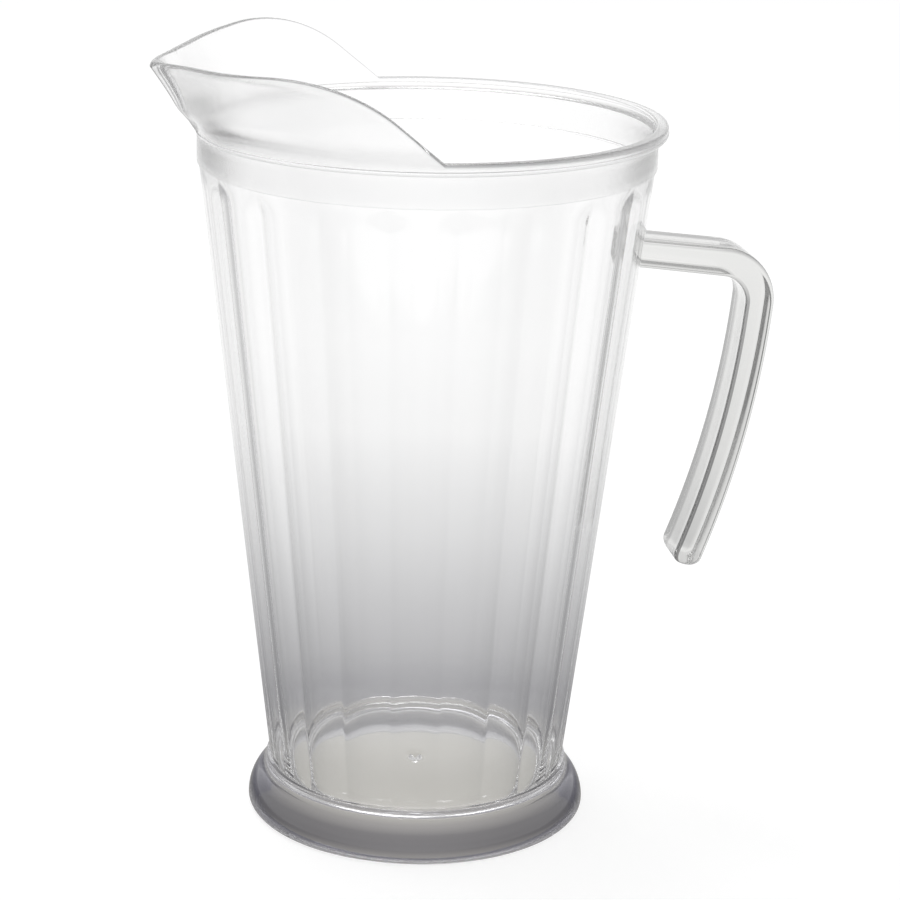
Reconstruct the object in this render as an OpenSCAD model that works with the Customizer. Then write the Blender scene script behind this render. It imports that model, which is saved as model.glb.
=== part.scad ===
// Clear plastic beer pitcher: a tapered cup with flutes inside, a flared foot ring under it,
// a smooth collar with a raised pouring lip and beak on top, and an open hook handle.
// The axis of the cup is Z, the foot stands on Z = 0, the beak points to -X and the handle to +X.

/* [Cup] */
// Height of the level rim above the table
rim_h = 215; // [205:1:230]
// Outside diameter of the cup where it meets the foot
cup_base_d = 90.6; // [88:0.2:93]
// Outside diameter of the cup at the collar's lower edge
cup_top_d = 133.8; // [130:0.2:135]
// Thickness of the wall at the deepest line of a flute
wall_t = 2.4; // [2.2:0.1:2.8]
// Number of flutes round the inside
flute_count = 20; // [12:1:28]
// Depth of a flute at the collar's lower edge
flute_depth = 0.7; // [0.3:0.05:1]
// Step from the flutes out to the smooth inside above them
flute_step = 0.15; // [0.1:0.05:0.3]
// Height of the floor's upper face above the table
floor_z = 14.8; // [14.4:0.1:15.4]
// Thickness of the floor
floor_t = 3.6; // [3:0.1:4]
// Diameter of the gate mark under the middle of the floor
gate_d = 4.6; // [3:0.2:7]
// How far the gate mark stands down inside its dimple
gate_h = 0.7; // [0.4:0.1:1]

/* [Foot] */
// Height of the foot, up to the line round the cup
foot_h = 15.6; // [15.5:0.1:17]
// How far the foot flares out past the cup on each side
foot_flare = 6.7; // [5.5:0.1:8]
// Radius of the foot's outward bulge
bulge_r = 12; // [11:0.1:13]
// Radius of the inward sweep above the bulge
sweep_r = 10; // [9:0.1:12]
// Rounding of the edge that stands on the table
foot_edge_r = 2.2; // [1.5:0.1:3]
// How far the foot's upper lip stands out from the cup
foot_lip = 1; // [0.6:0.1:1.4]
// Width of the step inside the foot that carries the floor
ledge_w = 3; // [2:0.1:4]
// Width of the ring that touches the table
tread_w = 3.4; // [2.5:0.1:5]
// How far the cup's wall is stepped in where the foot takes it
spigot_step = 1.2; // [0.8:0.1:1.5]

/* [Collar] */
// Diameter over the bead at the level rim
rim_d = 140.4; // [139:0.2:144]
// Height of the collar below the level rim
collar_h = 13; // [11:0.5:16]
// How far the collar stands out from the fluted wall
collar_proud = 0.4; // [0.2:0.1:0.8]
// Height of the bead
bead_h = 3.6; // [3:0.1:5]
// Rounding of the bead's outer edges
bead_edge_r = 1.3; // [0.6:0.1:1.4]
// Height of the lap between the collar and the cup's tongue
lap_h = 5; // [3:0.5:7]
// Thickness of the cup's tongue inside the lap
tongue_t = 1.2; // [0.9:0.1:1.5]

/* [Pouring lip] */
// Thickness of the raised lip
lip_t = 2.2; // [1.6:0.1:2.6]
// Height over which the lip thins from the collar
lip_blend_h = 4; // [2:0.5:6]
// Distance in front of the axis where the lip leaves the level rim
lip_start = 5.7; // [2:0.1:12]
// Angle at which the lip leaves the level rim
lip_angle = 39.5; // [35:0.5:42]
// Radius that turns the lip's edge towards the beak
lip_turn_r = 46; // [38:1:50]
// Angle at which the edge falls towards the beak's tip
lip_fall = 6.6; // [4:0.2:9]
// Distance of the beak's tip from the axis
beak_reach = 81; // [78:0.5:85]
// Height of the beak's tip above the level rim
beak_rise = 17.1; // [15:0.1:19]
// Width of the beak where it leaves the lip
beak_w = 35; // [28:0.5:40]
// Angle of the beak's keel from upright
keel_angle = 34.9; // [30:0.5:38]
// Radius along the keel
keel_r = 2.6; // [2:0.1:3.2]

/* [Handle] */
// Height on the cup at which the arm's middle leaves it
arm_z = 175; // [165:0.5:180]
// Length of the arm from the cup to the bend
arm_l = 26; // [22:0.5:30]
// Depth of the arm at the cup
arm_t = 8.3; // [7.5:0.1:10]
// Depth of the leg
leg_t = 8.8; // [8:0.1:10]
// Width of the handle, across the pitcher
handle_w = 17.5; // [15:0.1:19]
// Radius of the bend along the handle's middle
bend_r = 12.3; // [11:0.1:15]
// Angle from upright at which the leg starts
leg_start = 5; // [2:0.5:8]
// Radius of the leg's long curve
leg_r = 290; // [240:5:400]
// Length of the leg along its middle
leg_l = 85; // [70:1:90]
// Rounding of the handle's long edges
handle_edge_r = 1.1; // [0.7:0.1:2]
// Rounding of the handle's free end
tip_r = 4.2; // [2.5:0.1:4.3]
// Depth of the seat for the handle in the cup's wall
socket_d = 1.2; // [0.8:0.1:1.3]

/* [Hidden] */
$fn = 128;

// Clearance at the bonded joints, and how far cuts run past a face
joint_gap = 0.1;
overrun = 2;

// The cup's outer cone, and its smooth inside at the deepest lines of the flutes
collar_z = rim_h - collar_h;
wall_slope = (cup_top_d - cup_base_d) / 2 / (collar_z - foot_h);
wall_angle = atan(wall_slope);
function cup_r(z) = cup_base_d / 2 + wall_slope * (z - foot_h);
function cup_in_r(z) = cup_r(z) - wall_t;
floor_under_z = floor_z - floor_t;
spigot_r = cup_base_d / 2 - spigot_step;
lap_top_z = collar_z + lap_h;
function band_in_r(z) = cup_in_r(z) + flute_step;
function tongue_r(z) = band_in_r(z) + tongue_t;

// One flute is an arc on a circle of radius 1, from ridge to ridge
flute_steps = 10;
half_pitch = 180 / flute_count;
ridge_share = 1 - flute_depth / cup_in_r(collar_z);
chord_share = ridge_share * sin(half_pitch);
sag_share = 1 - ridge_share * cos(half_pitch);
arc_share = (pow(chord_share, 2) + pow(sag_share, 2)) / (2 * sag_share);
arc_half = asin(chord_share / arc_share);

// The dimple round the gate mark
dimple_d = 3 * gate_d;
dimple_h = floor_t / 4;

// The foot's outline is two arcs that touch: the bulge below, the sweep above
foot_d = cup_base_d + 2 * foot_flare;
bulge_c = [foot_d / 2 - bulge_r, foot_edge_r];
foot_lip_r = cup_base_d / 2 + foot_lip;
sweep_c_r = foot_lip_r + sweep_r;
sweep_c = [sweep_c_r, bulge_c[1] + sqrt(pow(bulge_r + sweep_r, 2) - pow(sweep_c_r - bulge_c[0], 2))];
tread_r = foot_d / 2 - foot_edge_r;
hollow_r = tread_r - tread_w;
hollow_top_r = spigot_r - ledge_w;
hollow_fillet_r = floor_t;

// The collar, the bead and the lip share the cup's slope
rim_r = rim_d / 2;
collar_r = cup_r(collar_z) + collar_proud;
bead_z = rim_h - bead_h;
bead_mid_z = rim_h - bead_h / 2;
function lip_r(z) = rim_r + wall_slope * (z - rim_h);

// The lip's edge from the side, as distance in front of the axis and height above the rim:
// a rising line, a turning arc and a falling line to the beak's tip
edge_meet_u = (beak_rise + tan(lip_fall) * beak_reach + tan(lip_angle) * lip_start) /
  (tan(lip_angle) + tan(lip_fall));
edge_meet = [edge_meet_u, tan(lip_angle) * (edge_meet_u - lip_start)];
edge_tangent = lip_turn_r * tan((lip_angle + lip_fall) / 2);
edge_rise_end = edge_meet - edge_tangent * [cos(lip_angle), sin(lip_angle)];
edge_fall_start = edge_meet + edge_tangent * [cos(lip_fall), -sin(lip_fall)];
edge_turn_c = edge_rise_end + lip_turn_r * [sin(lip_angle), -cos(lip_angle)];
edge_end_u = beak_reach + overrun;
edge_end = [edge_end_u, beak_rise - tan(lip_fall) * overrun];
lip_top_z = rim_h + edge_meet[1];

// The beak is a wedge from its keel back to the lip, and its walls are parallel to the wedge
beak_half = atan(beak_w / 2 / (beak_reach - beak_root_x(lip_top_z)));
beak_shift = lip_t / sin(beak_half);
beak_fn = 24;
function beak_root_x(z) = sqrt(pow(lip_r(z) - lip_t / 2, 2) - pow(beak_w / 2, 2));
function keel_u(z) = beak_reach - keel_r - tan(keel_angle) * (rim_h + beak_rise - z);

// The handle's middle line: the arm square to the wall, the bend, then the leg's long curve
arm_root = [cup_r(arm_z), arm_z];
bend_turn = 90 - wall_angle + leg_start;
bend_l = bend_r * bend_turn * PI / 180;
leg_turn = leg_l / leg_r * 180 / PI;
function heading(s) =
  s < arm_l ? -wall_angle :
  s < arm_l + bend_l ? -wall_angle - (s - arm_l) / bend_l * bend_turn :
  -wall_angle - bend_turn - (s - arm_l - bend_l) / leg_l * leg_turn;
function left(h) = [-sin(h), cos(h)];
function along(h) = [cos(h), sin(h)];
bend_start = arm_root + arm_l * along(heading(0));
bend_c = bend_start - bend_r * left(heading(0));
leg_root = bend_c + bend_r * left(heading(arm_l + bend_l));
leg_c = leg_root - leg_r * left(heading(arm_l + bend_l));
function middle(s) =
  s < arm_l ? arm_root + s * along(heading(s)) :
  s < arm_l + bend_l ? bend_c + bend_r * left(heading(s)) :
  leg_c + leg_r * left(heading(s));
handle_l = arm_l + bend_l + leg_l;

// The handle's depth grows from the arm to the leg, and its free end is rounded off
function depth(s) = arm_t + (leg_t - arm_t) * min(1, max(0, s / (arm_l + bend_l)));
function tip_cut(s) =
  let (d = max(0, s - handle_l + tip_r))
  tip_r - sqrt(max(0, pow(tip_r, 2) - pow(d, 2)));

// One section of the handle, as points across its depth and its width
corner_steps = 4;
function corner(turn, a, b, r) = [
  for (i = [0 : corner_steps])
    let (h = turn + 90 * i / corner_steps)
    [sign(cos(turn + 45)) * (a - r) + r * cos(h), sign(sin(turn + 45)) * (b - r) + r * sin(h)]
];
function section(s) =
  let (
    cut = tip_cut(s),
    a = depth(s) / 2 - cut,
    b = handle_w / 2 - cut,
    r = min(handle_edge_r, min(a, b) / 2)
  )
  [for (turn = [0 : 90 : 270]) each corner(turn, a, b, r)];
function ring(s) =
  let (m = middle(s), n = left(heading(s)))
  [for (p = section(s)) [m[0] + n[0] * p[0], p[1], m[1] + n[1] * p[0]]];
arm_steps = 12;
bend_steps = 14;
leg_steps = 26;
tip_steps = 5;
function spread(from, to, steps) = [for (i = [1 : steps]) from + (to - from) * i / steps];
body_stations = concat([-socket_d], spread(0, arm_l, arm_steps),
  spread(arm_l, arm_l + bend_l, bend_steps), spread(arm_l + bend_l, handle_l - tip_r, leg_steps));
tip_stations = [for (i = [1 : tip_steps]) handle_l - tip_r + tip_r * sin(85 * i / tip_steps)];

// A skin over rings of equal point counts, closed at both ends
module loft(rings) {
  sides = len(rings[0]);
  last = len(rings) - 1;
  points = [for (r = rings) each r];
  skin = [
    for (i = [0 : last - 1], j = [0 : sides - 1])
      let (k = (j + 1) % sides, p = i * sides, q = p + sides)
      each [[p + j, q + j, q + k], [p + j, q + k, p + k]]
  ];
  polyhedron(points, concat(
    [[for (j = [0 : sides - 1]) j]], skin, [[for (j = [sides - 1 : -1 : 0]) last * sides + j]]));
}

// Outline of the fluted inside on a circle of radius 1
module flute_outline() {
  polygon([
    for (k = [0 : flute_count - 1], i = [0 : flute_steps - 1])
      let (
        turn = (2 * k + 1) * half_pitch,
        h = arc_half * (2 * i / flute_steps - 1),
        p = [1 - arc_share + arc_share * cos(h), arc_share * sin(h)]
      )
      [p[0] * cos(turn) - p[1] * sin(turn), p[0] * sin(turn) + p[1] * cos(turn)]
  ]);
}

// The space inside the cup: flutes up to the collar, smooth above
module cup_inside() {
  low_r = cup_in_r(floor_z);
  translate([0, 0, floor_z])
    linear_extrude(height = collar_z - floor_z, scale = cup_in_r(collar_z) / low_r)
      scale(low_r) flute_outline();
  translate([0, 0, collar_z])
    cylinder(h = lap_h + overrun, r1 = band_in_r(collar_z), r2 = band_in_r(lap_top_z + overrun));
}

// The seat of the handle's arm in the wall, with a flat bottom square to the arm
module handle_socket() {
  a = arm_t / 2 + joint_gap;
  b = handle_w / 2 + joint_gap;
  r = handle_edge_r + joint_gap;
  translate([arm_root[0], 0, arm_root[1]]) rotate([0, 90 + wall_angle, 0])
    translate([0, 0, -socket_d]) linear_extrude(height = socket_d + overrun) {
      square([2 * a, 2 * (b - r)], center = true);
      square([2 * (a - r), 2 * b], center = true);
      for (x = [r - a, a - r], y = [r - b, b - r]) translate([x, y]) circle(r);
    }
}

module fluted_cup() {
  color([0.88, 0.89, 0.93, 0.5]) {
    difference() {
      union() {
        translate([0, 0, foot_h])
          cylinder(h = collar_z - foot_h, r1 = cup_r(foot_h), r2 = cup_r(collar_z));
        translate([0, 0, collar_z])
          cylinder(h = lap_h, r1 = tongue_r(collar_z), r2 = tongue_r(lap_top_z));
        translate([0, 0, floor_under_z]) cylinder(h = foot_h - floor_under_z, r = spigot_r);
      }
      cup_inside();
      handle_socket();
      translate([0, 0, floor_under_z - overrun]) difference() {
        cylinder(h = overrun + dimple_h, d = dimple_d);
        translate([0, 0, overrun + dimple_h - gate_h])
          cylinder(h = gate_h, d1 = gate_d / 2, d2 = gate_d);
      }
    }
  }
}

// Half outline of the foot's outside, filled to the axis
module foot_outline() {
  touch = bulge_c + (sweep_c - bulge_c) * bulge_r / (bulge_r + sweep_r);
  intersection() {
    union() {
      intersection() {
        translate(bulge_c) circle(bulge_r);
        polygon([bulge_c, [foot_d, foot_edge_r], [foot_d, touch[1]], touch]);
      }
      difference() {
        polygon([[0, foot_edge_r], bulge_c, sweep_c, [0, sweep_c[1]]]);
        translate(sweep_c) circle(sweep_r);
      }
    }
    square([foot_d, foot_h]);
  }
  square([tread_r, foot_edge_r]);
  intersection() {
    translate([tread_r, foot_edge_r]) circle(foot_edge_r);
    translate([tread_r, -foot_edge_r]) square(2 * foot_edge_r);
  }
}

// Half outline of the hollow under the floor, with a rounded upper corner
module hollow_outline() {
  polygon([[0, -overrun], [hollow_r, -overrun], [hollow_r, 0],
    [hollow_top_r, floor_under_z - hollow_fillet_r],
    [hollow_top_r - hollow_fillet_r, floor_under_z], [0, floor_under_z]]);
  translate([hollow_top_r - hollow_fillet_r, floor_under_z - hollow_fillet_r])
    circle(hollow_fillet_r);
}

module foot_ring() {
  color([0.72, 0.72, 0.78, 0.6]) rotate_extrude() difference() {
    foot_outline();
    hollow_outline();
    translate([0, floor_under_z]) square([spigot_r + joint_gap, foot_h]);
  }
}

// Half outline of the collar and its bead, filled to the axis
module collar_outline() {
  translate([0, collar_z]) square([collar_r, bead_mid_z - collar_z]);
  translate([0, bead_z]) square([rim_r - bead_edge_r, bead_h]);
  translate([0, bead_z + bead_edge_r]) square([rim_r, bead_h - 2 * bead_edge_r]);
  for (z = [bead_z + bead_edge_r, rim_h - bead_edge_r])
    translate([rim_r - bead_edge_r, z]) circle(bead_edge_r);
}

// Half outline of the raised lip, filled to the axis and as tall all round as at its highest
module lip_outline() {
  polygon([[0, bead_mid_z], [lip_r(bead_mid_z), bead_mid_z], [lip_r(lip_top_z), lip_top_z],
    [0, lip_top_z]]);
}

// The side view that the lip and the beak are trimmed to
module lip_trim() {
  low = -bead_h;
  translate([0, rim_r, rim_h]) rotate([90, 0, 0]) mirror([1, 0])
    linear_extrude(height = rim_d) {
      polygon([[lip_start, low], [lip_start, 0], edge_rise_end, edge_turn_c, edge_fall_start,
        edge_end, [edge_end_u, low]]);
      translate(edge_turn_c) circle(lip_turn_r);
    }
}

// The wedge of the beak: its keel, and its two roots on the lip
module beak_wedge() {
  root_u = beak_root_x(lip_top_z);
  hull() {
    for (z = [bead_mid_z, lip_top_z + keel_r])
      translate([-keel_u(z), 0, z]) sphere(keel_r, $fn = beak_fn);
    for (y = [-beak_w / 2, beak_w / 2])
      translate([-root_u, y, lip_top_z + keel_r]) sphere(lip_t / 2, $fn = beak_fn);
  }
}

// The space inside the collar and the lip, with the lap for the cup's tongue at its foot
module mouth() {
  lap_z = lap_top_z + joint_gap;
  thin_z = rim_h + lip_blend_h;
  above_z = lip_top_z + keel_r + overrun;
  rotate_extrude() polygon([
    [0, collar_z - overrun], [tongue_r(collar_z - overrun) + joint_gap, collar_z - overrun],
    [tongue_r(lap_z) + joint_gap, lap_z], [band_in_r(lap_z), lap_z],
    [band_in_r(bead_mid_z), bead_mid_z], [lip_r(thin_z) - lip_t, thin_z],
    [lip_r(above_z) - lip_t, above_z], [0, above_z]
  ]);
}

module pouring_collar() {
  color([0.95, 0.95, 0.96, 0.6]) difference() {
    union() {
      rotate_extrude() collar_outline();
      intersection() {
        union() {
          rotate_extrude() lip_outline();
          beak_wedge();
        }
        lip_trim();
      }
    }
    mouth();
    translate([beak_shift, 0, 0]) beak_wedge();
  }
}

module hook_handle() {
  color([0.84, 0.85, 0.86, 0.6])
    loft([for (s = concat(body_stations, tip_stations)) ring(s)]);
}

fluted_cup();
foot_ring();
pouring_collar();
hook_handle();
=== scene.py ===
"""Looks of the clear plastic beer pitcher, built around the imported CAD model.

Each of the four CAD nodes is replaced by a smooth closed mesh of the same size and place.
Sizes are written in millimetres, as in the part's source, and become metres when a mesh is made.
"""

import math

import bmesh
import bpy
from mathutils import Matrix, Vector


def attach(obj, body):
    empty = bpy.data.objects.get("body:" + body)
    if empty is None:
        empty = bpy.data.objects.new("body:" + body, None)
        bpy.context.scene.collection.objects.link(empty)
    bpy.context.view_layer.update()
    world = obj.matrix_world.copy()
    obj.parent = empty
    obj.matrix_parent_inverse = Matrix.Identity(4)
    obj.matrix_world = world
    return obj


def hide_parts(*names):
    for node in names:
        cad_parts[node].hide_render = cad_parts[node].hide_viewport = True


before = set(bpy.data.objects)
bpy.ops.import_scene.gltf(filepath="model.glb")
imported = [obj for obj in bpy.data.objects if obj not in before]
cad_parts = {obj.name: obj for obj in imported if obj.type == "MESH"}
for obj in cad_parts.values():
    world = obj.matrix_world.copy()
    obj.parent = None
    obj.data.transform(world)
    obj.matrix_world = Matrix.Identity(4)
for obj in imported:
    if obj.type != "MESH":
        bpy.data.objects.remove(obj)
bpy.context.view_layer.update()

MM = 0.001

# Material slots of a piece: its plain faces, faces glued to a neighbour, and faces of other painted shade:
# the keel and the handle's inner edges get painted shade, the foot's hollow is left without the foot's
PLAIN = 0
BOND = 1
OTHER_SHADE = 2

# Angle between two faces from which the edge between them stays sharp
SHARP_ANGLE = math.radians(40)

# Cup
RIM_H = 215.0
CUP_BASE_R = 45.3
CUP_TOP_R = 66.9
WALL_T = 2.4
FLUTES = 20
FLUTE_DEPTH = 0.7
FLUTE_STEP = 0.15
FLOOR_Z = 14.8
FLOOR_T = 3.6
GATE_R = 3.2
GATE_H = 2.6

# Foot
FOOT_H = 15.6
FOOT_R = 52.0
BULGE_R = 12.0
SWEEP_R = 10.0
FOOT_EDGE_R = 2.2
FOOT_LIP = 1.0
LEDGE_W = 3.0
TREAD_W = 3.4
SPIGOT_STEP = 1.2

# Collar and pouring lip
RIM_R = 70.19
COLLAR_H = 13.0
COLLAR_PROUD = 0.4
BEAD_H = 3.6
BEAD_EDGE_R = 1.3
LIP_T = 2.2
LIP_BLEND_H = 4.0
LIP_START = 5.7
LIP_ANGLE = math.radians(39.5)
LIP_TURN_R = 46.0
LIP_FALL = math.radians(6.6)
BEAK_REACH = 82.0
BEAK_RISE = 16.95
BEAK_W = 35.0
KEEL_ANGLE = math.radians(34.9)

# Handle
ARM_Z = 175.0
ARM_L = 26.0
ARM_T = 8.3
LEG_T = 8.8
HANDLE_W = 17.5
BEND_R = 12.3
LEG_START = math.radians(5.0)
LEG_R = 290.0
LEG_L = 85.0
HANDLE_EDGE_R = 1.1
OUTER_EDGE_R = 1.7
TIP_R = 4.2

# Clearance that keeps the faces of neighbouring pieces apart
SEAT = 0.05

# Sizes that follow from those above
COLLAR_Z = RIM_H - COLLAR_H
BEAD_Z = RIM_H - BEAD_H
BEAD_MID_Z = RIM_H - BEAD_H / 2
COLLAR_R = CUP_TOP_R + COLLAR_PROUD
SLOPE = (CUP_TOP_R - CUP_BASE_R) / (COLLAR_Z - FOOT_H)
WALL_ANGLE = math.atan(SLOPE)
FLOOR_UNDER_Z = FLOOR_Z - FLOOR_T
SPIGOT_R = CUP_BASE_R - SPIGOT_STEP


def cup_r(z):
    return CUP_BASE_R + SLOPE * (z - FOOT_H)


def cup_in_r(z):
    return cup_r(z) - WALL_T


def band_in_r(z):
    return cup_in_r(z) + FLUTE_STEP


def lip_r(z):
    return RIM_R + SLOPE * (z - RIM_H)


def smooth(t):
    t = min(1.0, max(0.0, t))
    return t * t * (3 - 2 * t)


def spread(start, end, steps):
    return [start + (end - start) * i / steps for i in range(steps + 1)]


def arc(centre, r, start, end, steps):
    """Points on an arc between two angles in degrees, as (radius, height)."""
    turns = [math.radians(a) for a in spread(start, end, steps)]
    return [(centre[0] + r * math.cos(t), centre[1] + r * math.sin(t)) for t in turns]


def polar(r, turn, z):
    return Vector((r * math.cos(turn), r * math.sin(turn), z))


def face_outwards(mesh):
    solid = bmesh.new()
    solid.from_mesh(mesh)
    if solid.calc_volume(signed=True) < 0:
        bmesh.ops.reverse_faces(solid, faces=solid.faces)
    solid.to_mesh(mesh)
    solid.free()


def make_mesh(name, rings, loop, slot_of):
    """A closed skin over rings of equal point counts, given in millimetres.

    With loop, the last ring joins the first; otherwise the first and last rings are capped.
    slot_of gives the material slot of the face that follows a ring and a side.
    """
    count = len(rings)
    sides = len(rings[0])
    points = [p * MM for ring in rings for p in ring]
    faces = []
    slots = []
    for i in range(count if loop else count - 1):
        a = i * sides
        b = (i + 1) % count * sides
        for j in range(sides):
            k = (j + 1) % sides
            faces.append((a + j, a + k, b + k, b + j))
            slots.append(slot_of(i, j))
    if not loop:
        faces.append(tuple(reversed(range(sides))))
        faces.append(tuple((count - 1) * sides + j for j in range(sides)))
        slots += [PLAIN, PLAIN]
    mesh = bpy.data.meshes.new(name)
    mesh.from_pydata(points, [], faces)
    mesh.polygons.foreach_set("material_index", slots)
    face_outwards(mesh)
    mesh.shade_smooth()
    mesh.set_sharp_from_angle(angle=SHARP_ANGLE)
    piece = bpy.data.objects.new(name, mesh)
    bpy.context.scene.collection.objects.link(piece)
    return piece


# The fluted cup
FLUTE_TURN = 2 * math.pi / FLUTES
RIDGE_SHARE = 1 - FLUTE_DEPTH / cup_in_r(COLLAR_Z)
CHORD_SHARE = RIDGE_SHARE * math.sin(FLUTE_TURN / 2)
SAG_SHARE = 1 - RIDGE_SHARE * math.cos(FLUTE_TURN / 2)
ARC_SHARE = (CHORD_SHARE**2 + SAG_SHARE**2) / (2 * SAG_SHARE)
RIDGE_SOFT = math.radians(0.45)
# Columns of points across a flute, in degrees from its ridge
FLUTE_COLUMNS = [0, 0.3, 0.7, 1.2, 2.0, 3.2, 4.8, 6.8, 9.0, 11.2, 13.2, 14.8, 16.0, 16.8, 17.3, 17.7]
FLUTE_END_H = 8.0
FLOOR_FILLET_R = 0.5
LEDGE_BLUNT = math.radians(72)
HOLLOW_TOP_R = SPIGOT_R - LEDGE_W
HOLLOW_FILLET_R = FLOOR_T
LEDGE_IN_R = HOLLOW_TOP_R - HOLLOW_FILLET_R * (1 - math.cos(LEDGE_BLUNT))
# Where rings of points lie on the flat faces of the floor
GATE_START_SHARE = 0.1
UNDER_FLOOR_GAP = 3.0
FLOOR_SHARES = (0.9, 0.7, 0.5, 0.3, 0.1)


def flute_share(turn):
    """Radius of the fluted inside at this angle, as a share of the radius at a flute's deepest line."""
    from_ridge = abs((turn + FLUTE_TURN / 2) % FLUTE_TURN - FLUTE_TURN / 2)
    from_ridge = math.sqrt(from_ridge**2 + RIDGE_SOFT**2)
    off = FLUTE_TURN / 2 - from_ridge
    centre = 1 - ARC_SHARE
    return centre * math.cos(off) + math.sqrt(ARC_SHARE**2 - (centre * math.sin(off)) ** 2)


def inside_r(turn, z):
    """Radius of the inside: fluted low down, smooth at the collar."""
    fluted = cup_in_r(z) * flute_share(turn)
    up = smooth((z - (COLLAR_Z - FLUTE_END_H)) / FLUTE_END_H)
    return fluted + (band_in_r(z) - fluted) * up


def cup_rings():
    turns = [k * FLUTE_TURN + math.radians(c) for k in range(FLUTES) for c in FLUTE_COLUMNS]
    free = [(r, FLOOR_UNDER_Z - GATE_H * (1 - smooth(r / GATE_R)))
            for r in spread(GATE_R * GATE_START_SHARE, GATE_R, 9)]
    free += [(r, FLOOR_UNDER_Z) for r in spread(GATE_R + UNDER_FLOOR_GAP, LEDGE_IN_R - UNDER_FLOOR_GAP, 6)]
    shoulder_z = FOOT_H + SEAT
    joint = [(LEDGE_IN_R, FLOOR_UNDER_Z), (SPIGOT_R, FLOOR_UNDER_Z), (SPIGOT_R, shoulder_z)]
    top_z = COLLAR_Z - SEAT
    outside = [(cup_r(z), z) for z in spread(shoulder_z, top_z, 9)]
    bonded = [len(free), len(free) + 1, len(free) + 2, len(free + joint + outside) - 1]
    outside += [(band_in_r(top_z), top_z)]
    rings = [[polar(r, t, z) for t in turns] for r, z in free + joint + outside]
    floor_top_z = FLOOR_Z + FLOOR_FILLET_R
    heights = spread(top_z, COLLAR_Z - FLUTE_END_H, 6)[1:]
    heights += spread(COLLAR_Z - FLUTE_END_H, floor_top_z, 8)[1:]
    rings += [[polar(inside_r(t, z), t, z) for t in turns] for z in heights]
    for step in spread(0, 90, 6)[1:]:
        turn_down = math.radians(step)
        inset = FLOOR_FILLET_R * (1 - math.cos(turn_down))
        z = FLOOR_Z + FLOOR_FILLET_R * (1 - math.sin(turn_down))
        rings.append([polar(inside_r(t, z) - inset, t, z) for t in turns])
    flat_r = cup_in_r(FLOOR_Z) - FLOOR_FILLET_R
    for share in FLOOR_SHARES:
        rings.append([polar(flat_r * share, t, FLOOR_Z) for t in turns])
    return rings, bonded


cup_skin, cup_bonds = cup_rings()


def cup_slot(ring, side):
    return BOND if ring in cup_bonds else PLAIN


cup = make_mesh("cup", cup_skin, loop=False, slot_of=cup_slot)

# The foot
FOOT_COLUMNS = 256
FOOT_ROUND_R = 0.35


def foot_profile():
    bulge_c = (FOOT_R - BULGE_R, FOOT_EDGE_R)
    lip_outer_r = CUP_BASE_R + FOOT_LIP
    sweep_r = lip_outer_r + SWEEP_R
    rise = math.sqrt((BULGE_R + SWEEP_R) ** 2 - (sweep_r - bulge_c[0]) ** 2)
    sweep_c = (sweep_r, bulge_c[1] + rise)
    meet = math.degrees(math.atan2(rise, sweep_r - bulge_c[0]))
    sweep_end_z = FOOT_H - FOOT_ROUND_R
    sweep_end = 180 + math.degrees(math.asin((sweep_c[1] - sweep_end_z) / SWEEP_R))
    tread_r = FOOT_R - FOOT_EDGE_R
    hollow_r = tread_r - TREAD_W
    ledge_z = FLOOR_UNDER_Z - SEAT
    fillet_c = (HOLLOW_TOP_R - HOLLOW_FILLET_R, FLOOR_UNDER_Z - HOLLOW_FILLET_R)
    points = arc((tread_r, FOOT_EDGE_R), FOOT_EDGE_R, -90, 0, 10)
    points += arc(bulge_c, BULGE_R, 0, meet, 20)[1:]
    points += arc(sweep_c, SWEEP_R, 180 + meet, sweep_end, 16)[1:]
    lip_end_r = points[-1][0]
    points += arc((lip_end_r - FOOT_ROUND_R, sweep_end_z), FOOT_ROUND_R, 0, 90, 4)[1:]
    bonded = [len(points), len(points) + 1, len(points) + 2]
    points += [(CUP_BASE_R, FOOT_H), (SPIGOT_R + SEAT, FOOT_H)]
    points += [(SPIGOT_R + SEAT, ledge_z), (LEDGE_IN_R, ledge_z)]
    points += arc(fillet_c, HOLLOW_FILLET_R, math.degrees(LEDGE_BLUNT), 0, 10)
    points += [(r, (hollow_r - r) / (hollow_r - HOLLOW_TOP_R) * fillet_c[1])
               for r in spread(HOLLOW_TOP_R, hollow_r - FOOT_ROUND_R, 6)[1:]]
    points += [(hollow_r + FOOT_ROUND_R, 0.0)]
    return points, bonded


def revolve(profile, columns):
    turns = [2 * math.pi * i / columns for i in range(columns)]
    return [[polar(r, t, z) for t in turns] for r, z in profile]


foot_outline, foot_bonds = foot_profile()


def foot_slot(ring, side):
    if ring in foot_bonds:
        return BOND
    # The hollow's faces are left without the foot's painted shade
    in_hollow = foot_bonds[-1] < ring < len(foot_outline) - 1
    return OTHER_SHADE if in_hollow else PLAIN


foot = make_mesh("foot", revolve(foot_outline, FOOT_COLUMNS), loop=True, slot_of=foot_slot)

# The collar with its lip and beak
EDGE_MEET_U = (BEAK_RISE + math.tan(LIP_FALL) * BEAK_REACH + math.tan(LIP_ANGLE) * LIP_START) / (
    math.tan(LIP_ANGLE) + math.tan(LIP_FALL))
EDGE_MEET_V = math.tan(LIP_ANGLE) * (EDGE_MEET_U - LIP_START)
EDGE_TANGENT = LIP_TURN_R * math.tan((LIP_ANGLE + LIP_FALL) / 2)
RISE_END_U = EDGE_MEET_U - EDGE_TANGENT * math.cos(LIP_ANGLE)
RISE_END_V = EDGE_MEET_V - EDGE_TANGENT * math.sin(LIP_ANGLE)
FALL_START_U = EDGE_MEET_U + EDGE_TANGENT * math.cos(LIP_FALL)
TURN_U = RISE_END_U + LIP_TURN_R * math.sin(LIP_ANGLE)
TURN_V = RISE_END_V - LIP_TURN_R * math.cos(LIP_ANGLE)
LIP_TOP_Z = RIM_H + EDGE_MEET_V
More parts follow.
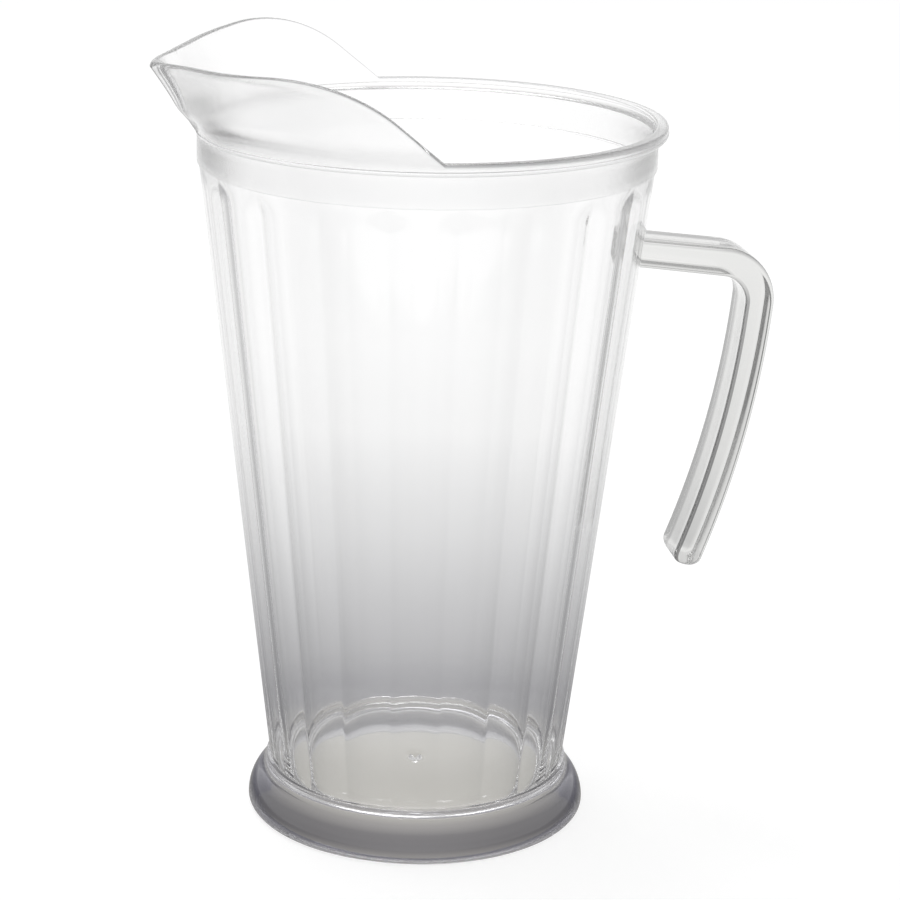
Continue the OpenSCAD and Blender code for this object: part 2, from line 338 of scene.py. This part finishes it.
BEAK_ROOT_U = math.sqrt((lip_r(LIP_TOP_Z) - LIP_T / 2) ** 2 - (BEAK_W / 2) ** 2)
BEAK_HALF = math.atan(BEAK_W / 2 / (BEAK_REACH - BEAK_ROOT_U))
BEAK_SHIFT = LIP_T / math.sin(BEAK_HALF)
BEAK_SOFT = 9.0
BEAK_IN_SOFT = 9.0
BEAK_SOFT_H = 5.0
KEEL_EXTRA = 1.6
KEEL_SPREAD = math.radians(4)
KEEL_SOFT = 0.05
# Angle from the beak, and points of the section, within which faces beside the keel get painted shade
KEEL_SHADE_TURN = math.radians(2.9)
KEEL_SIDES = range(18, 34)
RIM_EDGE_R = 0.9
BEAK_FADE = (math.radians(26), math.radians(44))
LIP_EDGE_SHARE = 0.9
BEAD_DIP = 2.4
DIP_TURN = math.radians(17)
DIP_TOP_H = 5.0
BEAK_LIMIT = math.radians(45)
KEEL_EDGE_TURN = 3 * KEEL_SPREAD
COLLAR_ROUND_R = 0.3
EDGE_ROUNDS = 8
# Where rows of points lie on the collar's faces
BAND_GAP = 2.0
BEAD_GAP = 0.2
INNER_RUN_H = 3.0
INNER_GAP = 1.0
# Angles from the beak, in degrees, up to which columns of points lie close together, and the same
# on each side of the corners where the lip leaves the rim
KEEL_ZONE = 3
BEAK_ZONE = 24
CORNER_ZONE = 2


def edge_height(u):
    """Height of the lip's edge above the level rim, at this distance in front of the axis."""
    if u <= LIP_START:
        return 0.0
    if u < RISE_END_U:
        return math.tan(LIP_ANGLE) * (u - LIP_START)
    if u < FALL_START_U:
        return TURN_V + math.sqrt(LIP_TURN_R**2 - (u - TURN_U) ** 2)
    return BEAK_RISE + math.tan(LIP_FALL) * (BEAK_REACH - u)


def beak_r(turn, z, shift):
    """Radius of the beak's wedge in the direction that is this far from the beak."""
    tip_u = BEAK_REACH - math.tan(KEEL_ANGLE) * (RIM_H + BEAK_RISE - z) - shift
    side = math.sqrt(math.sin(turn) ** 2 + KEEL_SOFT**2) - KEEL_SOFT
    return tip_u / (math.cos(turn) + side / math.tan(BEAK_HALF))


def soft_max(a, b, turn, z, softness):
    """The larger of two radii, blended where they are close.

    The blend fades towards the bead and away from the beak.
    """
    width = max(SEAT, softness * smooth((z - BEAD_MID_Z) / BEAK_SOFT_H))
    near = max(0.0, 1 - abs(a - b) / width)
    fade = 1 - smooth((abs(turn) - BEAK_FADE[0]) / (BEAK_FADE[1] - BEAK_FADE[0]))
    return max(a, b) + fade * near**3 * width / 6


def bead_dip(turn, z):
    """How far the bead and the wall over it draw in, where the keel runs out through them."""
    fade = 1 - smooth((z - BEAD_MID_Z) / (RIM_H + DIP_TOP_H - BEAD_MID_Z))
    return BEAD_DIP * math.exp(-((turn / DIP_TURN) ** 2)) * fade


def outer_r(turn, z):
    if abs(turn) > BEAK_LIMIT or z < BEAD_Z:
        return lip_r(z)
    return soft_max(lip_r(z) - bead_dip(turn, z), beak_r(turn, z, 0), turn, z, BEAK_SOFT)


def inner_r(turn, z):
    thin_z = RIM_H + LIP_BLEND_H
    if z < BEAD_MID_Z:
        return band_in_r(z)
    low_r = band_in_r(BEAD_MID_Z)
    thin_r = lip_r(thin_z) - LIP_T
    share = (z - BEAD_MID_Z) / (thin_z - BEAD_MID_Z)
    plain = low_r + (thin_r - low_r) * share if z < thin_z else lip_r(z) - LIP_T
    if abs(turn) > BEAK_LIMIT:
        return plain
    shift = BEAK_SHIFT + KEEL_EXTRA * math.exp(-((turn / KEEL_SPREAD) ** 2))
    return soft_max(plain, beak_r(turn, z, shift), turn, z, BEAK_IN_SOFT)


def collar_section(turn):
    """The collar's section at this angle from the beak, as (radius, height) points in a closed loop."""
    top_z = RIM_H
    for _ in range(EDGE_ROUNDS):
        middle_r = (outer_r(turn, top_z) + inner_r(turn, top_z)) / 2
        top_z = RIM_H + max(0.0, edge_height(middle_r * math.cos(turn)))
    round_r = COLLAR_ROUND_R
    low_z = COLLAR_Z
    points = [(band_in_r(low_z), low_z), (CUP_TOP_R, low_z)]
    points += arc((COLLAR_R - round_r, low_z + round_r), round_r, -90, 0, 3)
    points += [(COLLAR_R, z) for z in spread(low_z + BAND_GAP, BEAD_Z - round_r, 3)]
    points += [(COLLAR_R + round_r / 4, BEAD_Z - round_r / 4), (COLLAR_R + round_r, BEAD_Z)]
    bead_r = RIM_R - bead_dip(turn, BEAD_Z)
    bead_edge_r = min(BEAD_EDGE_R, (bead_r - COLLAR_R - round_r) * LIP_EDGE_SHARE)
    bead_c = (bead_r - bead_edge_r, BEAD_Z + bead_edge_r)
    points += arc(bead_c, bead_edge_r, -90, 0, 6)
    edge_r = (outer_r(turn, top_z) - inner_r(turn, top_z)) / 2 * LIP_EDGE_SHARE
    if abs(turn) > KEEL_EDGE_TURN:
        edge_r = min(RIM_EDGE_R, edge_r)
    side_z = bead_c[1] + BEAD_GAP
    points += [(outer_r(turn, z), z) for z in spread(side_z, top_z - edge_r, 12)]
    out_r = outer_r(turn, top_z - edge_r)
    in_r = inner_r(turn, top_z - edge_r)
    points += arc((out_r - edge_r, top_z - edge_r), edge_r, 0, 90, 6)[1:]
    points += arc((in_r + edge_r, top_z - edge_r), edge_r, 90, 180, 6)
    run_end_z = BEAD_MID_Z - INNER_RUN_H
    points += [(inner_r(turn, z), z) for z in spread(top_z - edge_r, run_end_z, 14)[1:]]
    points += [(band_in_r(z), z) for z in spread(run_end_z - INNER_GAP, low_z + BAND_GAP, 3)]
    return points


def collar_turns():
    """Angles from the beak: close together at the beak and at the corners where the lip leaves the rim."""
    corner = math.degrees(math.acos(LIP_START / (RIM_R - LIP_T)))
    half = spread(0, KEEL_ZONE, 12)
    half += spread(KEEL_ZONE, BEAK_ZONE, 56)[1:]
    half += spread(BEAK_ZONE, corner - CORNER_ZONE, 48)[1:]
    half += spread(corner - CORNER_ZONE, corner, 8)[1:]
    half += spread(corner, corner + CORNER_ZONE, 4)[1:]
    half += spread(corner + CORNER_ZONE, 180, 70)[1:]
    return [math.radians(a) for a in [-h for h in reversed(half[1:-1])] + half]


COLLAR_TURNS = collar_turns()


def collar_rings():
    rings = []
    for turn in COLLAR_TURNS:
        section = collar_section(turn)
        rings.append([Vector((-r * math.cos(turn), -r * math.sin(turn), z)) for r, z in section])
    return rings


def collar_slot(ring, side):
    if side == 0:
        return BOND
    # Faces beside the keel get painted shade
    on_keel = abs(COLLAR_TURNS[ring]) < KEEL_SHADE_TURN and side in KEEL_SIDES
    return OTHER_SHADE if on_keel else PLAIN


collar = make_mesh("collar", collar_rings(), loop=True, slot_of=collar_slot)

# The handle
BEND_TURN = math.pi / 2 - WALL_ANGLE + LEG_START
BEND_L = BEND_R * BEND_TURN
LEG_TURN = LEG_L / LEG_R
HANDLE_L = ARM_L + BEND_L + LEG_L
EDGE_STEPS = 10
INNER_CORNERS = (1, 2)
HANDLE_EDGE_SHARE = 0.9
# Angle of the tip's rounding, in degrees, at which its last ring stops short of the pole
TIP_STOP = 87


def heading(s):
    if s < ARM_L:
        return -WALL_ANGLE
    if s < ARM_L + BEND_L:
        return -WALL_ANGLE - (s - ARM_L) / BEND_L * BEND_TURN
    return -WALL_ANGLE - BEND_TURN - (s - ARM_L - BEND_L) / LEG_L * LEG_TURN


def left(h):
    return Vector((-math.sin(h), 0.0, math.cos(h)))


ARM_ROOT = Vector((cup_r(ARM_Z), 0.0, ARM_Z))
ARM_WAY = Vector((math.cos(heading(0)), 0.0, math.sin(heading(0))))
BEND_C = ARM_ROOT + ARM_L * ARM_WAY - BEND_R * left(heading(0))
LEG_C = BEND_C + (BEND_R - LEG_R) * left(heading(ARM_L + BEND_L))


def middle(s):
    if s < ARM_L:
        return ARM_ROOT + s * ARM_WAY
    if s < ARM_L + BEND_L:
        return BEND_C + BEND_R * left(heading(s))
    return LEG_C + LEG_R * left(heading(s))


def depth(s):
    return ARM_T + (LEG_T - ARM_T) * min(1.0, max(0.0, s / (ARM_L + BEND_L)))


def tip_cut(s):
    past = max(0.0, s - HANDLE_L + TIP_R)
    return TIP_R - math.sqrt(max(0.0, TIP_R**2 - past**2))


def handle_section(s):
    cut = tip_cut(s)
    a = depth(s) / 2 - cut
    b = HANDLE_W / 2 - cut
    most = min(a, b) * HANDLE_EDGE_SHARE
    r = min(HANDLE_EDGE_R, most)
    q = min(OUTER_EDGE_R, most)
    points = arc((a - q, b - q), q, 0, 90, EDGE_STEPS) + arc((r - a, b - r), r, 90, 180, EDGE_STEPS)
    points += arc((r - a, r - b), r, 180, 270, EDGE_STEPS) + arc((a - q, q - b), q, 270, 360, EDGE_STEPS)
    return points


def handle_rings():
    stations = spread(0, ARM_L, 30) + spread(ARM_L, ARM_L + BEND_L, 28)[1:]
    stations += spread(ARM_L + BEND_L, HANDLE_L - TIP_R, 70)[1:]
    stations += [HANDLE_L - TIP_R + TIP_R * math.sin(math.radians(a)) for a in spread(0, TIP_STOP, 12)[1:]]
    rings = []
    for s in stations:
        across = left(heading(s))
        centre = middle(s)
        rings.append([centre + across * p[0] + Vector((0, p[1], 0)) for p in handle_section(s)])
    root = []
    for p in rings[0]:
        out = math.sqrt(cup_r(p.z) ** 2 - p.y**2) + SEAT
        root.append(Vector((out, p.y, p.z)))
    rings[0] = root
    return rings


def handle_slot(ring, side):
    """The two rounded inner edges get the material with painted shade."""
    corner, step = divmod(side, EDGE_STEPS + 1)
    return OTHER_SHADE if corner in INNER_CORNERS and step < EDGE_STEPS else PLAIN


handle = make_mesh("handle", handle_rings(), loop=False, slot_of=handle_slot)


# Materials
PLASTIC_IOR = 1.57
# Mould flow: waves drawn out along the height, and how deep they are, in metres
FLOW_STRETCH = (1.0, 1.0, 0.35)
FLOW_DEPTH = 0.5 * MM
# Places of the colour sockets of a Mix node
MIX_A = 6
MIX_B = 7
MIX_RESULT = 2


def link(tree, source, target):
    tree.links.new(source, target)


def math_node(tree, operation, first, second):
    made = tree.nodes.new("ShaderNodeMath")
    made.operation = operation
    for socket, value in zip(made.inputs, (first, second)):
        if isinstance(value, float):
            socket.default_value = value
        else:
            link(tree, value, socket)
    return made.outputs["Value"]


def ramp_node(tree, source, stops):
    made = tree.nodes.new("ShaderNodeValToRGB")
    ramp = made.color_ramp
    while len(ramp.elements) < len(stops):
        ramp.elements.new(0.5)
    for element, (position, colour) in zip(ramp.elements, stops):
        element.position = position
        element.color = (*colour, 1)
    link(tree, source, made.inputs["Fac"])
    return made.outputs["Color"]


def mix_node(tree, factor, first, second):
    """One colour where the factor is 0 and another where it is 1, each a colour or a socket."""
    made = tree.nodes.new("ShaderNodeMix")
    made.data_type = "RGBA"
    link(tree, factor, made.inputs["Factor"])
    for socket, colour in ((made.inputs[MIX_A], first), (made.inputs[MIX_B], second)):
        if isinstance(colour, tuple):
            socket.default_value = (*colour, 1)
        else:
            link(tree, colour, socket)
    return made.outputs[MIX_RESULT]


def node(tree, kind, **values):
    made = tree.nodes.new(kind)
    for name, value in values.items():
        made.inputs[name.replace("_", " ")].default_value = value
    return made


def by_distance(tree, place, axis, stops):
    """A colour that changes along an axis, from stops at distances from the origin in millimetres."""
    split = tree.nodes.new("ShaderNodeSeparateXYZ")
    link(tree, place.outputs["Object"], split.inputs["Vector"])
    away = math_node(tree, "ABSOLUTE", split.outputs[axis], 0.0)
    last = stops[-1][0]
    share = math_node(tree, "DIVIDE", away, last * MM)
    return ramp_node(tree, share, [(distance / last, shade) for distance, shade in stops])


def clear_plastic(name, colour, rough_low, rough_high, wave, depth=None, depth_axis="Z", frost=None):
    """Polished clear plastic with the faint waviness and uneven polish of a moulding.

    Where given, depth gives its colour along an axis: painted shade on the foot, the keel and the handle's
    inner edges, and a grey a little darker towards the bottom on the handle's faces.
    Where its polish is worn, frost gives the added roughness by height.
    """
    material = bpy.data.materials.new(name)
    material.use_nodes = True
    tree = material.node_tree
    shader = tree.nodes["Principled BSDF"]
    shader.inputs["Base Color"].default_value = (*colour, 1)
    shader.inputs["IOR"].default_value = PLASTIC_IOR
    shader.inputs["Transmission Weight"].default_value = 1.0
    place = tree.nodes.new("ShaderNodeTexCoord")
    if depth:
        link(tree, by_distance(tree, place, depth_axis, depth), shader.inputs["Base Color"])
    polish = node(tree, "ShaderNodeTexNoise", Scale=45.0, Detail=4.0, Roughness=0.6)
    link(tree, place.outputs["Object"], polish.inputs["Vector"])
    rough = node(tree, "ShaderNodeMapRange", From_Min=0.35, From_Max=0.7, To_Min=rough_low, To_Max=rough_high)
    link(tree, polish.outputs["Fac"], rough.inputs["Value"])
    roughness = rough.outputs["Result"]
    if frost:
        worn = by_distance(tree, place, "Z", [(z, (more, more, more)) for z, more in frost])
        roughness = math_node(tree, "ADD", roughness, worn)
    link(tree, roughness, shader.inputs["Roughness"])
    stretch = tree.nodes.new("ShaderNodeMapping")
    stretch.inputs["Scale"].default_value = FLOW_STRETCH
    link(tree, place.outputs["Object"], stretch.inputs["Vector"])
    flow = node(tree, "ShaderNodeTexNoise", Scale=38.0, Detail=1.0)
    link(tree, stretch.outputs["Vector"], flow.inputs["Vector"])
    bump = node(tree, "ShaderNodeBump", Strength=wave, Distance=FLOW_DEPTH)
    link(tree, flow.outputs["Fac"], bump.inputs["Height"])
    link(tree, bump.outputs["Normal"], shader.inputs["Normal"])
    return material


def bond_line():
    """Faces glued to a neighbour of the same clear plastic, which can't be seen."""
    material = bpy.data.materials.new("bond_line")
    material.use_nodes = True
    material.node_tree.nodes["Principled BSDF"].inputs["Alpha"].default_value = 0.0
    return material


bond = bond_line()


def dress(piece, materials, node_name):
    for material in materials:
        piece.data.materials.append(material)
    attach(piece, "root")
    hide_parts(node_name)


# Painted shade of the foot by height, in millimetres: darkest low in the ring, lighter at its bottom edge and
# at its top
FOOT_PAINTED_SHADE = [
    (0.0, (0.45, 0.445, 0.475)),
    (3.0, (0.25, 0.247, 0.275)),
    (5.0, (0.1, 0.098, 0.122)),
    (6.5, (0.095, 0.093, 0.117)),
    (9.0, (0.135, 0.133, 0.163)),
    (11.5, (0.41, 0.405, 0.45)),
    (13.5, (0.75, 0.745, 0.775)),
]

# Roughness that wear adds to the collar, by height
FROST = [
    (0.0, 0.16),
    (213.0, 0.16),
    (217.0, 0.10),
    (236.0, 0.10),
]

# Painted shade on the handle's inner edges, by height: dark low down, fading out at the arm
HANDLE_EDGE_PAINTED_SHADE = [
    (0.0, (0.10, 0.10, 0.10)),
    (110.0, (0.12, 0.12, 0.12)),
    (160.0, (0.22, 0.22, 0.22)),
    (170.0, (0.84, 0.84, 0.83)),
    (180.0, (0.84, 0.84, 0.83)),
]

# Grey of the handle's faces by height, a little darker towards the bottom
HANDLE_GREY_BY_HEIGHT = [
    (0.0, (0.73, 0.73, 0.72)),
    (140.0, (0.75, 0.75, 0.74)),
    (170.0, (0.8, 0.8, 0.79)),
    (180.0, (0.8, 0.8, 0.79)),
]

# Painted shade beside the beak's keel, by distance from the middle: a dark band on each side
KEEL_PAINTED_SHADE = [
    (0.0, (0.8, 0.8, 0.8)),
    (0.9, (0.6, 0.6, 0.6)),
    (1.7, (0.12, 0.12, 0.12)),
    (2.5, (0.12, 0.12, 0.12)),
    (3.3, (0.985, 0.985, 0.985)),
]

clear_cup = clear_plastic("clear_cup", (0.985, 0.985, 0.985), 0.01, 0.04, 0.15)
# The colours of the foot, the keel and the handle's inner edges are painted shade
clear_foot = clear_plastic("clear_foot", (0.5, 0.5, 0.51), 0.01, 0.04, 0.15, depth=FOOT_PAINTED_SHADE)
clear_collar = clear_plastic("clear_collar", (0.985, 0.985, 0.985), 0.02, 0.06, 0.15, frost=FROST)
clear_handle = clear_plastic("clear_handle", (0.84, 0.84, 0.83), 0.01, 0.04, 0.1, depth=HANDLE_GREY_BY_HEIGHT)
keel_painted_shade = clear_plastic("clear_keel_painted_shade", (0.2, 0.2, 0.2), 0.02, 0.06, 0.15, depth=KEEL_PAINTED_SHADE, depth_axis="Y")
handle_edge = clear_plastic("clear_handle_edge_painted_shade", (0.2, 0.2, 0.2), 0.01, 0.04, 0.1, depth=HANDLE_EDGE_PAINTED_SHADE)

dress(cup, [clear_cup, bond], "fluted_cup")
dress(foot, [clear_foot, bond, clear_cup], "foot_ring")
dress(collar, [clear_collar, bond, keel_painted_shade], "pouring_collar")
dress(handle, [clear_handle, bond, handle_edge], "hook_handle")

# Stage: a pale floor that is white to the eye. Through the plastic it glows as a sweep with painted shadow
# and shade: grey close to the object, white further off and a little darker to the sides than behind.
FLOOR_HALF = 6.0
FLOOR_DROP = 0.00005
# Direction of the photo's view, as a turn about the upright axis
VIEW_TURN = math.radians(-8.7)
# Colours of the sweep by distance from the object, as shares of a reach in metres; the grey close to the
# object is painted shadow
SWEEP_REACH = 0.8
SWEEP = [
    (0.0, (0.49, 0.475, 0.435)),
    (0.045, (0.58, 0.565, 0.525)),
    (0.08, (0.56, 0.555, 0.54)),
    (0.1, (0.395, 0.393, 0.41)),
    (0.12, (0.405, 0.403, 0.42)),
    (0.16, (0.525, 0.523, 0.535)),
    (0.32, (0.81, 0.81, 0.815)),
    (0.50, (1.06, 1.06, 1.06)),
    (0.68, (1.12, 1.12, 1.12)),
]
# How much darker the sweep is to the sides, and the share of that which is given back straight to the side
SIDE_DARK = 0.66
SIDE_START = 0.05
SQUARE_ON_LIGHT = 0.6
SQUARE_ON_POWER = 9.0
# How much dimmer the floor in front is where the plastic mirrors it, and how far off it is fully so
ROOM_DARK = 0.6
ROOM_START = 0.3
# Glow and paint of the floor to the eye, and the light that floor and room give to all else
FLOOR_WHITE = (0.8, 0.8, 0.8)
FLOOR_ALBEDO = (0.3, 0.3, 0.3)
PLAIN_LIGHT = (0.6, 0.6, 0.6)


def by_ray(tree, eye, plastic, other):
    """One colour for the camera's own rays, one for rays that met the plastic first, one for the rest."""
    path = tree.nodes.new("ShaderNodeLightPath")
    met = math_node(tree, "MAXIMUM", path.outputs["Is Glossy Ray"], path.outputs["Is Transmission Ray"])
    passed = mix_node(tree, met, other, plastic)
    return mix_node(tree, path.outputs["Is Camera Ray"], passed, eye)


def side_shade(tree, split, spread2, dark):
    """Share of light left towards the sides of the view, from the parts of a place or a direction."""
    x = split.outputs["X"]
    y = split.outputs["Y"]
    across = math_node(tree, "ADD", math_node(tree, "MULTIPLY", x, math.cos(VIEW_TURN)),
                       math_node(tree, "MULTIPLY", y, math.sin(VIEW_TURN)))
    aside = math_node(tree, "DIVIDE", math_node(tree, "MULTIPLY", across, across), spread2)
    square_on = math_node(tree, "MULTIPLY", math_node(tree, "POWER", aside, SQUARE_ON_POWER), SQUARE_ON_LIGHT)
    aside = math_node(tree, "MULTIPLY", aside, math_node(tree, "SUBTRACT", 1.0, square_on))
    return math_node(tree, "SUBTRACT", 1.0, math_node(tree, "MULTIPLY", aside, dark))


def mirrored_room(tree, split):
    """Share of light left in what the plastic mirrors from the floor in front, where the room is dim."""
    path = tree.nodes.new("ShaderNodeLightPath")
    mirrored = math_node(tree, "MINIMUM", path.outputs["Glossy Depth"], 1.0)
    nearer = math_node(tree, "SUBTRACT", math_node(tree, "MULTIPLY", split.outputs["X"], math.sin(VIEW_TURN)),
                       math_node(tree, "MULTIPLY", split.outputs["Y"], math.cos(VIEW_TURN)))
    front = math_node(tree, "MINIMUM", math_node(tree, "DIVIDE", nearer, ROOM_START), 1.0)
    front = math_node(tree, "MAXIMUM", front, 0.0)
    dim = math_node(tree, "MULTIPLY", math_node(tree, "MULTIPLY", front, mirrored), ROOM_DARK)
    return math_node(tree, "SUBTRACT", 1.0, dim)


def scaled(tree, colour, share):
    made = tree.nodes.new("ShaderNodeVectorMath")
    made.operation = "SCALE"
    link(tree, colour, made.inputs[0])
    link(tree, share, made.inputs["Scale"])
    return made.outputs["Vector"]


def stage_floor():
    mesh = bpy.data.meshes.new("floor")
    h = FLOOR_HALF
    z = -FLOOR_DROP
    mesh.from_pydata([(-h, -h, z), (h, -h, z), (h, h, z), (-h, h, z)], [], [(0, 1, 2, 3)])
    floor = bpy.data.objects.new("floor", mesh)
    bpy.context.scene.collection.objects.link(floor)
    material = bpy.data.materials.new("floor")
    material.use_nodes = True
    tree = material.node_tree
    tree.nodes.remove(tree.nodes["Principled BSDF"])
    place = tree.nodes.new("ShaderNodeNewGeometry")
    split = tree.nodes.new("ShaderNodeSeparateXYZ")
    link(tree, place.outputs["Position"], split.inputs["Vector"])
    x = split.outputs["X"]
    y = split.outputs["Y"]
    far2 = math_node(tree, "ADD", math_node(tree, "MULTIPLY", x, x), math_node(tree, "MULTIPLY", y, y))
    far = math_node(tree, "SQRT", far2, 0.0)
    sweep = ramp_node(tree, math_node(tree, "DIVIDE", far, SWEEP_REACH), SWEEP)
    shade = side_shade(tree, split, math_node(tree, "ADD", far2, SIDE_START**2), SIDE_DARK)
    shade = math_node(tree, "MULTIPLY", shade, mirrored_room(tree, split))
    glow = tree.nodes.new("ShaderNodeEmission")
    link(tree, by_ray(tree, FLOOR_WHITE, scaled(tree, sweep, shade), PLAIN_LIGHT), glow.inputs["Color"])
    matt = tree.nodes.new("ShaderNodeBsdfDiffuse")
    path = tree.nodes.new("ShaderNodeLightPath")
    lit = mix_node(tree, path.outputs["Is Camera Ray"], (0, 0, 0), FLOOR_ALBEDO)
    link(tree, lit, matt.inputs["Color"])
    both = tree.nodes.new("ShaderNodeAddShader")
    link(tree, glow.outputs["Emission"], both.inputs[0])
    link(tree, matt.outputs["BSDF"], both.inputs[1])
    link(tree, both.outputs["Shader"], tree.nodes["Material Output"].inputs["Surface"])
    mesh.materials.append(material)


stage_floor()

# Colours of the room by the height of the direction, from level to straight up
DOME = [
    (0.0, (0.95, 0.95, 0.95)),
    (0.35, (0.90, 0.90, 0.90)),
    (0.50, (0.62, 0.62, 0.62)),
    (0.85, (0.62, 0.62, 0.62)),
    (0.95, (0.90, 0.90, 0.90)),
]
DOME_SIDE_DARK = 0.33


def studio_world():
    """White to the eye; to the plastic, a white horizon, dark walls above it and a white ceiling panel."""
    world = bpy.data.worlds.new("studio")
    world.use_nodes = True
    bpy.context.scene.world = world
    tree = world.node_tree
    place = tree.nodes.new("ShaderNodeTexCoord")
    split = tree.nodes.new("ShaderNodeSeparateXYZ")
    link(tree, place.outputs["Generated"], split.inputs["Vector"])
    shade = side_shade(tree, split, 1.0, DOME_SIDE_DARK)
    dome = scaled(tree, ramp_node(tree, split.outputs["Z"], DOME), shade)
    link(tree, by_ray(tree, (1, 1, 1), dome, PLAIN_LIGHT), tree.nodes["Background"].inputs["Color"])


studio_world()


def soft_lamp(name, place, aim, width, height, power):
    light = bpy.data.lights.new(name, "AREA")
    light.shape = "RECTANGLE"
    light.size = width
    light.size_y = height
    light.energy = power
    lamp = bpy.data.objects.new(name, light)
    bpy.context.scene.collection.objects.link(lamp)
    lamp.location = place
    lamp.rotation_euler = (Vector(aim) - Vector(place)).to_track_quat("-Z", "Y").to_euler()


LAMP_PLACE = (-0.3, 0.4, 1.5)
LAMP_AIM = (0, 0, 0.1)
LAMP_SIDE = 0.9
LAMP_POWER = 9

soft_lamp("top_softbox", LAMP_PLACE, LAMP_AIM, LAMP_SIDE, LAMP_SIDE, LAMP_POWER)

# Camera at the photo's viewing angle
VIEW_RISE = math.radians(17.485)
VIEW_ROLL = math.radians(1.124)
VIEW_AWAY = 0.87075
AIM = Vector((0, 0, 0.1075))
LENS = 115.08
SENSOR_W = 36
FRAME_PX = 900
SHIFT = (28.8 / FRAME_PX, 18.7 / FRAME_PX)
CLIP_START = 0.01


def photo_camera():
    back = Vector((math.sin(VIEW_TURN) * math.cos(VIEW_RISE), -math.cos(VIEW_TURN) * math.cos(VIEW_RISE),
                   math.sin(VIEW_RISE)))
    level = Vector((math.cos(VIEW_TURN), math.sin(VIEW_TURN), 0))
    rise = back.cross(level)
    right = level * math.cos(VIEW_ROLL) + rise * math.sin(VIEW_ROLL)
    up = rise * math.cos(VIEW_ROLL) - level * math.sin(VIEW_ROLL)
    lens = bpy.data.cameras.new("photo_view")
    lens.sensor_width = SENSOR_W
    lens.lens = LENS
    lens.shift_x, lens.shift_y = SHIFT
    lens.clip_start = CLIP_START
    camera = bpy.data.objects.new("photo_view", lens)
    bpy.context.scene.collection.objects.link(camera)
    turn = Matrix((right, up, back)).transposed().to_4x4()
    camera.matrix_world = Matrix.Translation(AIM + back * VIEW_AWAY) @ turn
    bpy.context.scene.camera = camera


photo_camera()

# Light goes through many faces of clear plastic before it leaves
BOUNCES = 128

scene = bpy.context.scene
scene.view_settings.view_transform = "Standard"
scene.cycles.max_bounces = BOUNCES
scene.cycles.transmission_bounces = BOUNCES
scene.cycles.glossy_bounces = BOUNCES
scene.cycles.transparent_max_bounces = BOUNCES
